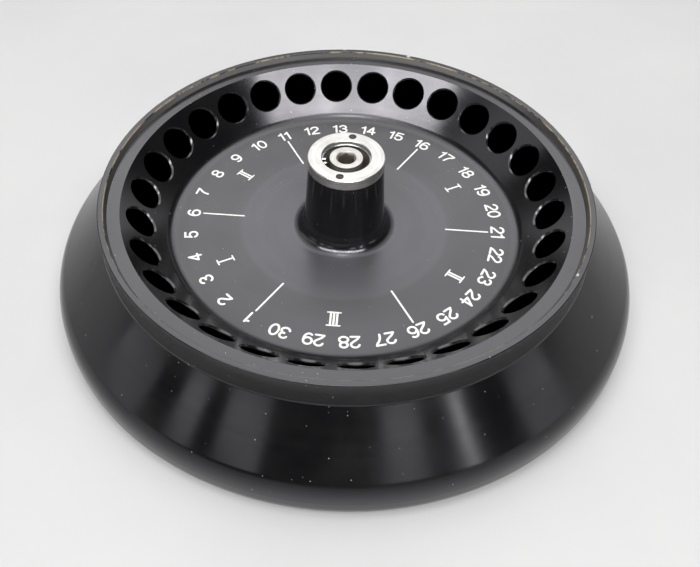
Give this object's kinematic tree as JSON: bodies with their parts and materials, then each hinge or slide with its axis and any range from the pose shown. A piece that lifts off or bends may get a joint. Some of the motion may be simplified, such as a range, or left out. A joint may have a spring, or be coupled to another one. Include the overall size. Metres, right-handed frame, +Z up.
{
  "type": "fixed angle centrifuge rotor",
  "caption": "Black anodised fixed angle rotor: a dish with slanted blind bores for micro tubes round a hub with a captive hex nut.",
  "frame": {"origin": "on the spin axis, in the plane of the foot ring's underside", "axes": "+Z up along the spin axis, towards the nut; +X to the viewer's right, towards place 21 within 4.5 degrees"},
  "size_m": [0.1944, 0.1944, 0.0511],
  "materials": {
    "black_anodised": "gloss black hard anodised, fine turning marks",
    "bush_steel": "ground stainless steel",
    "ring_steel": "turned bright stainless steel",
    "spring_steel": "spring steel",
    "washer_bronze": "plain bronze",
    "nut_steel": "turned bright stainless steel"
  },
  "bodies": {
    "rotor": {"rotor_body": "black_anodised", "shaft_bush": "bush_steel", "hub_ring": "ring_steel", "snap_ring": "spring_steel", "thrust_washer": "washer_bronze", "disc_spring": "spring_steel"},
    "nut": {"rotor_nut": "nut_steel"}
  },
  "joints": [
    {"name": "nut_turn", "type": "hinge", "parent": "rotor", "child": "nut", "pos_m": [0, 0, 0.0386], "axis": [0, 0, 1], "continuous": true}
  ]
}
